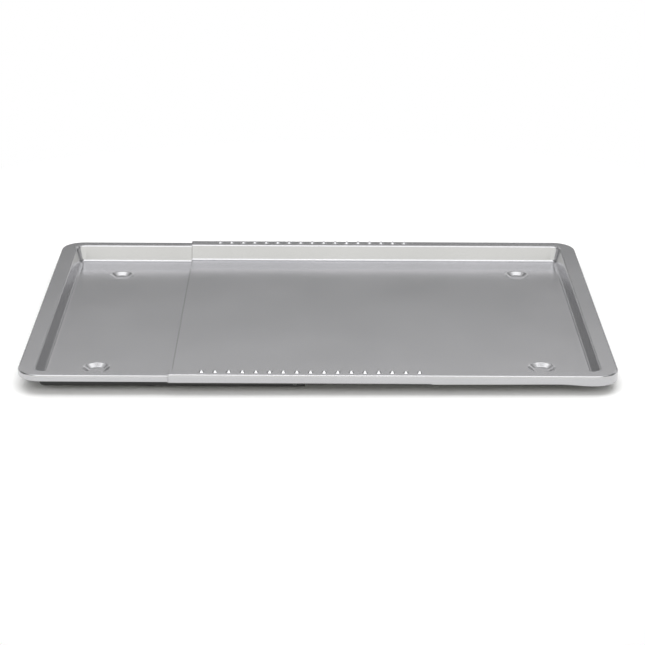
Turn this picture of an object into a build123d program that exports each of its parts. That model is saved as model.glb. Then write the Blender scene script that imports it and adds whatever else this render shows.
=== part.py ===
from build123d import *
from math import atan2, cos, degrees, radians, tan
import os

os.makedirs("parts", exist_ok=True)

# Extendable baking tray: two trays pressed from sheet steel. The outer tray lies over the
# open end of the inner one, and its side rims are folded round the inner tray's side rims,
# so that the inner tray slides out to the left. All sizes are in millimetres.
# The trays are drawn level, with X = 0 at the open end of the outer tray, Y = 0 on the
# centre line and Z = 0 under the inner tray's feet, and are set on their four feet last.

# Sheet and overall sizes
sheet = 0.6
outer_length = 350.0
outer_depth = 330.0
inner_length = 224.0
inner_shown = 118.0
corner_radius = 19.5

# Running clearances between the two trays
side_gap = 0.4
rim_gap = 0.8
floor_gap = 1.3
wall_gap = 0.6
hem_gap = 0.3

# Pressing of the inner tray; the outer tray's follows from it and the clearances
pan_depth = 14.0
draft_angle = 15.0
end_rim = 13.8
inner_side_rim = 10.0
inner_skirt = 5.2
rim_edge_radius = 1.6
mouth_radius = 2.0
floor_radius = 2.5
pan_corner_radius = 7.5
cut_edge_radius = 0.2

# Feet, pressed down into the floors
foot_drop = 2.7
foot_mouth_radius = 10.6
foot_floor_radius = 6.4
foot_bend_radius = 1.5
inner_foot_from_end = 57.5
outer_foot_from_end = 55.5
foot_from_centre = 111.5

# Catch bumps, pressed up in a row along each of the outer tray's side rims
bump_count = 17
bump_pitch = 10.55
bump_first = 25.9
bump_inset = 6.0
bump_root_radius = 2.6
bump_crown_radius = 0.7
bump_bend_radius = 0.5
bump_height = 1.9

# Catch pips on the inner tray's side rims, under the outer rims
pip_bump_index = 7
pip_radius = 2.0
pip_height = 0.4

# Skirt of the outer tray: a hem along the runway, then a plain edge, deeper at the end
hem_lip = 5.0
hem_bend_radius = 0.95
hem_run_past = 3.0
plain_skirt = 6.8
plain_skirt_from_end = 45.0
plain_skirt_bend_radius = 100.0
corner_skirt = 8.2

# Small dimple pressed down in each hem
dimple_at = 98.2
dimple_radius = 2.4
dimple_crown_radius = 0.7
dimple_height = 2.0

# How far the inner tray slides in from the pose drawn, in whole bumps
steps_in = 9

# One overrun serves all cuts
overrun = 5.0

# Levels and places that follow from the sizes above
slope = tan(radians(draft_angle))
wall_run = sheet / cos(radians(draft_angle))
wall_offset = (wall_gap + sheet) / cos(radians(draft_angle))
floor_step = sheet + floor_gap
rim_step = sheet + rim_gap
inner_floor_z = foot_drop + sheet
inner_rim_z = inner_floor_z + pan_depth
outer_floor_z = inner_floor_z + floor_step
outer_rim_z = inner_rim_z + rim_step
inner_depth = outer_depth - 2 * (sheet + side_gap)
outer_side_rim = inner_side_rim + sheet + side_gap + wall_offset - rim_step * slope
hem_skirt = rim_step + inner_skirt + hem_gap + sheet
inner_left = -inner_shown
inner_right = inner_length - inner_shown
hem_end = inner_right + steps_in * bump_pitch + hem_run_past


def rounded_box(x0, x1, half_y, radius, z0, z1):
    """A block with upright rounded corners."""
    middle = (x0 + x1) / 2
    face = Pos(middle, 0, z0) * RectangleRounded(x1 - x0, 2 * half_y, radius)
    return extrude(face, amount=z1 - z0)


def pan_form(x0, x1, half_y, rim_z, top_z, floor_z, grow):
    """The drafted space of a pan whose mouth is x0..x1 by half_y at rim_z.

    grow moves the walls outward, which makes the pressing's outer side."""
    inset = (rim_z - top_z) * slope - grow
    face = RectangleRounded(x1 - x0 - 2 * inset, 2 * (half_y - inset), pan_corner_radius - inset)
    form = extrude(Pos((x0 + x1) / 2, 0, top_z) * face, amount=top_z - floor_z,
                   dir=(0, 0, -1), taper=draft_angle)
    bottom_radius = floor_radius + (sheet if grow else 0)
    return fillet(form.edges().group_by(Axis.Z)[0], bottom_radius)


def loop_at(part, z, x0, x1, half_y):
    """The edges of a part that lie at height z on or inside a rectangle."""
    tolerance = sheet / 10
    found = []
    for edge in part.edges():
        box = edge.bounding_box()
        level = abs(box.min.Z - z) < tolerance and abs(box.max.Z - z) < tolerance
        inside = box.min.X > x0 - tolerance and box.max.X < x1 + tolerance
        if level and inside and max(-box.min.Y, box.max.Y) < half_y + tolerance:
            found.append(edge)
    return found


def pressed_tray(x0, x1, depth, side_rim, rim_z, floor_z, skirt, least_skirt, trim=None):
    """A tray with four walls, a flat rim and a skirt folded down all round.

    trim is what is cut off below the skirt before its edge is rounded, and least_skirt is
    how deep the skirt still is where it ends in a cut edge."""
    half = depth / 2
    blank = rounded_box(x0, x1, half, corner_radius, rim_z - skirt, rim_z)
    blank = fillet(blank.edges().group_by(Axis.Z)[-1], rim_edge_radius)
    under = rounded_box(x0 + sheet, x1 - sheet, half - sheet, corner_radius - sheet,
                        rim_z - skirt - overrun, rim_z - sheet)
    under = fillet(under.edges().group_by(Axis.Z)[-1], rim_edge_radius - sheet)
    rim = blank - under
    if trim:
        rim = rim - trim
    rim = fillet(cut_edges(rim, rim_z - least_skirt + cut_edge_radius), cut_edge_radius)
    mouth = (x0 + end_rim, x1 - end_rim, half - side_rim)
    outside = pan_form(*mouth, rim_z, rim_z - sheet / 2, floor_z - sheet, wall_run)
    inside = pan_form(*mouth, rim_z, rim_z, floor_z, 0)
    tray = rim + outside - inside
    tray = fillet(loop_at(tray, rim_z, *mouth), mouth_radius)
    grown = (mouth[0] - sheet, mouth[1] + sheet, mouth[2] + sheet)
    return fillet(loop_at(tray, rim_z - sheet, *grown), mouth_radius - sheet)


def cut_edges(rim, below_z):
    """The lower edges of a skirt, along the cut sheet and not across its thickness."""
    return [edge for edge in rim.edges()
            if edge.bounding_box().max.Z < below_z and edge.length > 2 * sheet]


def pressed_round(mouth, crown, rise, bend):
    """A round place pressed up by rise, or down where rise is negative.

    Returns the disc that it takes out of the sheet, whose top is at Z = 0, and the pressing,
    which has a flat ring round it."""
    lean = (mouth - crown) / abs(rise)
    shift = sheet * ((1 + lean ** 2) ** 0.5 - lean) * (1 if rise < 0 else -1)
    ring = mouth + bend + sheet
    points = [
        (0, rise), (crown, rise), (mouth, 0), (ring, 0),
        (ring, -sheet), (mouth + shift, -sheet), (crown + shift, rise - sheet),
        (0, rise - sheet),
    ]
    section = make_face(Polyline([(x, 0, z) for x, z in points], close=True))
    hollow_side = (1, 5) if rise < 0 else (2, 6)
    for index in (1, 2, 5, 6):
        x, z = points[index]
        corner = section.vertices().sort_by_distance((x, 0, z))[0]
        section = fillet(corner, bend if index in hollow_side else bend + sheet)
    return Cylinder(ring, 4 * sheet), revolve(section, Axis.Z)


def press_in(tray, pressing, places):
    """A tray with the same round pressing made at each place."""
    disc, form = pressing
    tray = tray - [place * disc for place in places]
    return tray + [place * form for place in places]


def foot_places(x, floor_z):
    """Where a tray's two feet are."""
    return [Pos(x, y, floor_z) for y in (-foot_from_centre, foot_from_centre)]


def make_inner_tray():
    """The inner tray, cut off square at its open end on the right."""
    far_end = inner_right + 2 * corner_radius + overrun
    tray = pressed_tray(inner_left, far_end, inner_depth, inner_side_rim,
                        inner_rim_z, inner_floor_z, inner_skirt, inner_skirt)
    foot = pressed_round(foot_mouth_radius, foot_floor_radius, -foot_drop, foot_bend_radius)
    tray = press_in(tray, foot, foot_places(inner_left + inner_foot_from_end, inner_floor_z))
    pip = Cylinder(pip_radius, pip_height + sheet / 2,
                   align=(Align.CENTER, Align.CENTER, Align.MIN))
    pip = fillet(pip.edges().group_by(Axis.Z)[-1], pip_height)
    pip_y = outer_depth / 2 - bump_inset
    pip_x = bump_first + pip_bump_index * bump_pitch
    for y in (-pip_y, pip_y):
        tray = tray + Pos(pip_x, y, inner_rim_z - sheet / 2) * pip
    cut = Box(far_end, outer_depth, 4 * inner_rim_z,
              align=(Align.MIN, Align.CENTER, Align.CENTER))
    return tray - Pos(inner_right, 0, 0) * cut


def skirt_trim():
    """What is cut off below the outer tray's skirt: it is deep only round its end."""
    hem_z = outer_rim_z - hem_skirt
    bend_z = hem_z + hem_bend_radius + sheet
    low_z = outer_rim_z - corner_skirt - 2 * overrun
    start_x = -4 * corner_radius
    plain = (outer_length - plain_skirt_from_end, outer_rim_z - plain_skirt)
    deep = (outer_length - corner_radius - overrun, outer_rim_z - corner_skirt)
    corners = [
        (start_x, bend_z), (hem_end, bend_z), (hem_end, hem_z), plain, deep,
        (outer_length + overrun, deep[1]), (outer_length + overrun, low_z), (start_x, low_z),
    ]
    face = make_face(Polyline([(x, 0, z) for x, z in corners], close=True))
    for x, z in (plain, deep):
        corner = face.vertices().sort_by_distance((x, 0, z))[0]
        face = fillet(corner, plain_skirt_bend_radius)
    return extrude(face, amount=outer_depth, both=True)


def hem_strip():
    """The hem along the front: the last of the skirt, a bend, and a lip turned inward."""
    face_y = -outer_depth / 2
    low = outer_rim_z - hem_skirt
    high = low + hem_bend_radius + sheet
    points = [
        (face_y, high), (face_y, low), (face_y + hem_lip, low),
        (face_y + hem_lip, low + sheet), (face_y + sheet, low + sheet), (face_y + sheet, high),
    ]
    section = make_face(Polyline([(0, y, z) for y, z in points], close=True))
    for index, radius in ((1, hem_bend_radius), (4, hem_bend_radius - sheet)):
        y, z = points[index]
        section = fillet(section.vertices().sort_by_distance((0, y, z))[0], radius)
    strip = extrude(section, amount=hem_end, dir=(1, 0, 0))
    dimple = Cone(dimple_crown_radius, dimple_radius, dimple_height,
                  align=(Align.CENTER, Align.CENTER, Align.MAX))
    dimple = fillet(dimple.edges().group_by(Axis.Z)[0], dimple_crown_radius)
    return strip + Pos(dimple_at, face_y + hem_lip / 2, low + sheet / 2) * dimple


def make_outer_tray():
    """The outer tray, cut off square at its open end, where its cut edges are eased."""
    far_end = -2 * corner_radius - overrun
    tray = pressed_tray(far_end, outer_length, outer_depth, outer_side_rim,
                        outer_rim_z, outer_floor_z, corner_skirt + overrun, plain_skirt,
                        skirt_trim())
    foot = pressed_round(foot_mouth_radius, foot_floor_radius, -foot_drop, foot_bend_radius)
    tray = press_in(tray, foot, foot_places(outer_length - outer_foot_from_end, outer_floor_z))
    bump_y = outer_depth / 2 - bump_inset
    bump = pressed_round(bump_root_radius, bump_crown_radius, bump_height, bump_bend_radius)
    tray = press_in(tray, bump, [
        Pos(bump_first + i * bump_pitch, y, outer_rim_z)
        for i in range(bump_count) for y in (-bump_y, bump_y)])
    cut = Box(-4 * far_end, 2 * outer_depth, 4 * outer_rim_z,
              align=(Align.MAX, Align.CENTER, Align.CENTER))
    hem = hem_strip()
    tray = tray - cut + hem + mirror(hem, Plane.XZ)
    open_end = tray.faces().sort_by(Axis.X)[0]
    long_edges = [edge for edge in open_end.edges() if edge.length > 2 * sheet]
    return fillet(long_edges, cut_edge_radius)


def on_its_feet(trays):
    """The trays tilted on to all four feet, with the middle of their base at the origin.

    The outer tray lies higher by its floor step, so the assembly leans to the right."""
    feet_apart = outer_length - outer_foot_from_end - (inner_left + inner_foot_from_end)
    lean = Rot(0, degrees(atan2(floor_step, feet_apart)), 0)
    trays = [lean * tray for tray in trays]
    box = Compound(trays).bounding_box()
    return [Pos(-box.center().X, 0, -box.min.Z) * tray for tray in trays]


inner_tray, outer_tray = on_its_feet([make_inner_tray(), make_outer_tray()])
export_step(inner_tray, "parts/inner_tray.step")
export_step(outer_tray, "parts/outer_tray.step")
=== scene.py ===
from math import pi, radians

import bpy
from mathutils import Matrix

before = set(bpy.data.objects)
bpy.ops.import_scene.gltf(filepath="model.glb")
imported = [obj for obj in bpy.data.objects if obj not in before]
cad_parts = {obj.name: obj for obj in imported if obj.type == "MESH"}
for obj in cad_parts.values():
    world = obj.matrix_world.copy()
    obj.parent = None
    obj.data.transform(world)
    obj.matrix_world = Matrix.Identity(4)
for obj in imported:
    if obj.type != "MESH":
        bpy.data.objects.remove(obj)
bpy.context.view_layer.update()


# Inner tray: the lower of the two trays, pressed from 0.6 mm sheet steel, with walls on three
# sides, a skirted rim and two feet. A silver-grey non-stick coating is baked on both faces.

class Value:
    """A shader socket that plain arithmetic can be written with."""

    def __init__(self, tree, socket):
        self.tree, self.socket = tree, socket

    def _maths(self, operation, *terms):
        """Add a Math node for this operation. A term is a Value or a number."""
        node = self.tree.nodes.new("ShaderNodeMath")
        node.operation = operation
        for slot, term in zip(node.inputs, terms):
            if isinstance(term, Value):
                self.tree.links.new(term.socket, slot)
            else:
                slot.default_value = term
        return Value(self.tree, node.outputs[0])

    def __add__(self, other):
        return self._maths("ADD", self, other)

    def __radd__(self, other):
        return self._maths("ADD", other, self)

    def __sub__(self, other):
        return self._maths("SUBTRACT", self, other)

    def __rsub__(self, other):
        return self._maths("SUBTRACT", other, self)

    def __mul__(self, other):
        return self._maths("MULTIPLY", self, other)

    def __rmul__(self, other):
        return self._maths("MULTIPLY", other, self)

    def __truediv__(self, other):
        return self._maths("DIVIDE", self, other)

    def __rtruediv__(self, other):
        return self._maths("DIVIDE", other, self)

    def absolute(self):
        return self._maths("ABSOLUTE", self)

    def arctan2(self, other):
        return self._maths("ARCTAN2", self, other)

    def clamped(self):
        """The value, but 0 where it is under 0 and 1 where it is over 1."""
        return self._maths("MINIMUM", self._maths("MAXIMUM", self, 0.0), 1.0)

    def ramp(self, start, end):
        """0 up to where the value is start, and from there evenly up to 1 where it is end."""
        return ((self - start) / (end - start)).clamped()


class Shader:
    """One node tree, and the one way in which its nodes are added."""

    def __init__(self, tree):
        self.tree = tree
        tree.nodes.clear()

    def add(self, kind, settings=None, sockets=None, out=0):
        """Add a node of this kind with its settings first, then its sockets' values or links.

        It gives the output named or numbered out, or the node itself where out is None."""
        node = self.tree.nodes.new(kind)
        for name, setting in (settings or {}).items():
            if name == "stops":
                while len(node.color_ramp.elements) < len(setting):
                    node.color_ramp.elements.new(0.5)
                for element, (place, colour) in zip(node.color_ramp.elements, setting):
                    element.position = place
                    element.color = colour
            else:
                setattr(node, name, setting)
        for name, value in (sockets or {}).items():
            if isinstance(value, Value):
                self.tree.links.new(value.socket, node.inputs[name])
            else:
                node.inputs[name].default_value = value
        return node if out is None else Value(self.tree, node.outputs[out])

    def noise(self, place, scale, detail, roughness):
        """A noise whose lumps are about 1 / scale of a metre across."""
        return self.add("ShaderNodeTexNoise", None, {
            "Vector": place, "Scale": scale, "Detail": detail, "Roughness": roughness})

    def mixed(self, factor, first, second):
        """The first colour where the factor is 0, and the second one where it is 1."""
        return self.add("ShaderNodeMix", {"data_type": "RGBA"},
                        {"Factor": factor, 6: first, 7: second}, out=2)


def coating(name, shift, cut_end):
    """Satin non-stick coating: fine metal flake, with a faint cloud from spraying.

    Faces that point downward get a much darker grey. A narrow strip along the cut edge at the
    tray's open end is painted a little darker as shade for the seam between the two trays, and
    cut_end is its place along the tray.
    The shift moves the flake and the cloud, so that two trays don't have the same ones."""
    dark_flake, pale_flake = (0.362, 0.362, 0.371, 1), (0.523, 0.522, 0.536, 1)
    painted_seam_shade_grey, under_face_grey = (0.02, 0.02, 0.02, 1), (0.10, 0.10, 0.10, 1)
    shade_strip_end, shade_strip_full, shade_strip_share = 0.0011, 0.0007, 0.2
    side_on, face_down = -0.05, -0.20
    cloud_share, flake_share, least_tone = 0.35, 0.5, 0.08
    metal_share, least_roughness, cloud_roughness = 0.9, 0.19, 0.05
    bump_strength, bump_depth, flake_height = 0.10, 0.0002, 0.6

    material = bpy.data.materials.new(name)
    material.use_nodes = True
    shader = Shader(material.node_tree)
    place = shader.add("ShaderNodeTexCoord", out="Object")
    along = shader.add("ShaderNodeSeparateXYZ", None, {"Vector": place}, out="X")
    # Painted shade: a strip about a millimetre wide along the cut edge is darkened for the
    # seam's shadow.
    painted_seam_shade = (along - cut_end).absolute().ramp(shade_strip_end, shade_strip_full) * shade_strip_share
    facing = shader.add("ShaderNodeTexCoord", out="Normal")
    upward = shader.add("ShaderNodeSeparateXYZ", None, {"Vector": facing}, out="Z")
    # Faces that point downward blend to a much darker grey.
    under = upward.ramp(side_on, face_down)

    place = shader.add("ShaderNodeMapping", None, {"Vector": place, "Location": shift})
    cloud = shader.noise(place, scale=14.0, detail=3.0, roughness=0.5)
    flake = shader.noise(place, scale=2600.0, detail=2.0, roughness=0.6)
    ripple = shader.noise(place, scale=420.0, detail=2.0, roughness=0.5)
    tone = (cloud_share * cloud + flake_share * flake + least_tone).clamped()
    colour = shader.mixed(tone, dark_flake, pale_flake)
    colour = shader.mixed(painted_seam_shade, colour, painted_seam_shade_grey)
    colour = shader.mixed(under, colour, under_face_grey)
    normal = shader.add("ShaderNodeBump", None, {
        "Height": flake_height * flake + ripple, "Strength": bump_strength,
        "Distance": bump_depth})
    surface = shader.add("ShaderNodeBsdfPrincipled", None, {
        "Base Color": colour, "Metallic": metal_share,
        "Roughness": cloud_roughness * cloud + least_roughness, "Normal": normal})
    shader.add("ShaderNodeOutputMaterial", None, {"Surface": surface}, out=None)
    return material


inner_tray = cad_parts["inner_tray"]
inner_tray.data.materials.clear()
open_end = max(corner[0] for corner in inner_tray.bound_box)
inner_tray.data.materials.append(coating("inner_tray_coating", (0.0, 0.0, 0.0), open_end))


# Outer tray: the upper tray, pressed from the same coated sheet. Its side rims carry a row of
# catch bumps each and are hemmed under, so that the inner tray slides in them.

outer_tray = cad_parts["outer_tray"]
outer_tray.data.materials.clear()
open_end = min(corner[0] for corner in outer_tray.bound_box)
outer_tray.data.materials.append(coating("outer_tray_coating", (1.7, 0.9, 0.4), open_end))


# Floor: plain white studio paper, matt, on which the tray stands on its four feet. Far from the
# tray it is the white of the room, and near the tray the paper takes its shadow. To diffuse
# rays the paper is greyer, so that little light comes back up under the tray.

floor_width, gap_under_feet = 24.0, 0.0002
shadow_reach, white_reach = 0.33, 0.58
paper_white, bounce_grey = (0.99, 0.99, 0.99, 1), (0.30, 0.30, 0.30, 1)

white = bpy.data.materials.new("studio_floor")
white.use_nodes = True
shader = Shader(white.node_tree)
place = shader.add("ShaderNodeTexCoord", out="Object")
reach = shader.add("ShaderNodeVectorMath", {"operation": "LENGTH"}, {0: place}, out="Value")
ray = shader.add("ShaderNodeLightPath", out=None)
seen, glossy, through, bounced = (Value(white.node_tree, ray.outputs[name]) for name in (
    "Is Camera Ray", "Is Glossy Ray", "Is Transmission Ray", "Is Diffuse Ray"))
far = reach.ramp(shadow_reach, white_reach) * (seen + glossy + through).clamped()
paper = shader.add("ShaderNodeBsdfPrincipled", None, {
    "Base Color": shader.mixed(bounced, paper_white, bounce_grey), "Roughness": 0.9,
    "Specular IOR Level": 0.0})
glow = shader.add("ShaderNodeEmission", None, {"Color": (1, 1, 1, 1), "Strength": 1.0})
surface = shader.add("ShaderNodeMixShader", None, {0: far, 1: paper, 2: glow})
shader.add("ShaderNodeOutputMaterial", None, {"Surface": surface}, out=None)
bpy.ops.mesh.primitive_plane_add(size=floor_width, location=(0, 0, -gap_under_feet))
floor = bpy.context.object
floor.name = "studio_floor"
floor.data.materials.append(white)


# Light: four soft studio lamps, turned to the middle of the tray: a broad one and a narrow one
# overhead, a faint long one in front that only fills the shadows, and one high in front. Each
# row has a lamp's name, its place, its width and length, and its power.

for name, spot, width, length, watts in (
        ("broad_top_lamp", (0.0, 0.1, 1.2), 2.4, 1.4, 8.8),
        ("narrow_top_lamp", (0.0, 0.2, 1.2), 1.6, 0.4, 2.8),
        ("front_fill_lamp", (0.0, -1.1, 0.8), 2.4, 0.4, 3.6),
        ("high_front_lamp", (0.0, -0.48, 1.15), 1.6, 0.55, 6.0)):
    lamp = bpy.data.objects.new(name, bpy.data.lights.new(name, "AREA"))
    bpy.context.scene.collection.objects.link(lamp)
    lamp.data.shape = "RECTANGLE"
    lamp.data.size, lamp.data.size_y, lamp.data.energy = width, length, watts
    lamp.location = spot
    lamp.rotation_euler = (-lamp.location).to_track_quat("-Z", "Y").to_euler()
    lamp.visible_camera = False
    lamp.visible_glossy = name != "front_fill_lamp"


# Room: the studio that the coating mirrors, bright low in front of the tray and dark overhead.
# Behind the tray it is pale at the horizon, dark over that, and has a bright band about 26
# degrees up. Its light parts low in front are a little warm.

# Each row is a place on the arc from the horizon behind the tray, 0, over the top, 0.5, to the
# horizon in front, 1, and the room's level there at the left and at the right.
levels = (
    (0.0, 1.12, 1.07), (0.04, 0.72, 0.65), (0.08, 0.00, 0.00), (0.12, 0.00, 0.76),
    (0.145, 1.38, 1.96), (0.17, 0.72, 1.35), (0.25, 0.22, 0.28), (0.38, 0.00, 0.06),
    (0.52, 0.15, 0.08), (0.66, 0.40, 0.40), (0.78, 1.45, 1.45), (0.86, 1.55, 1.55),
    (0.93, 1.42, 1.45), (1.0, 1.75, 1.79))
full_level = 2.0
warm_part, blue_in_warm_part = 0.8, 0.94

world = bpy.data.worlds.new("studio")
bpy.context.scene.world = world
world.use_nodes = True
shader = Shader(world.node_tree)
direction = shader.add("ShaderNodeTexCoord", out="Generated")
axes = shader.add("ShaderNodeSeparateXYZ", None, {"Vector": direction}, out=None)
side, depth, height = (Value(world.node_tree, socket) for socket in axes.outputs)
over = height.arctan2(depth) / pi
left_and_right = []
for column in (1, 2):
    stops = []
    for row in levels:
        grey = row[column] / full_level
        blue = grey * blue_in_warm_part if row[0] >= warm_part else grey
        stops.append((row[0], (grey, grey, blue, 1)))
    left_and_right.append(shader.add("ShaderNodeValToRGB", {"stops": stops}, {"Fac": over}))
room = shader.mixed(0.5 * side + 0.5, *left_and_right)
background = shader.add("ShaderNodeBackground", None, {"Color": room, "Strength": full_level})
shader.add("ShaderNodeOutputWorld", None, {"Surface": background}, out=None)


# Camera: level across, about 1.6 m in front of the tray and 0.6 m up, looking down at it. Its
# lens is given in pixels of a picture that is 645 pixels wide.

sensor_width, lens_pixels, picture_pixels = 36.0, 2050.0, 645.0
dip, turn = radians(20.526), radians(0.049)

camera = bpy.data.objects.new("camera", bpy.data.cameras.new("camera"))
bpy.context.scene.collection.objects.link(camera)
camera.data.sensor_width = sensor_width
camera.data.lens = sensor_width * lens_pixels / picture_pixels
camera.location = (0.0023, -1.62994, 0.6098)
camera.rotation_euler = (pi / 2 - dip, 0, -turn)
bpy.context.scene.camera = camera
bpy.context.scene.view_settings.view_transform = "Standard"
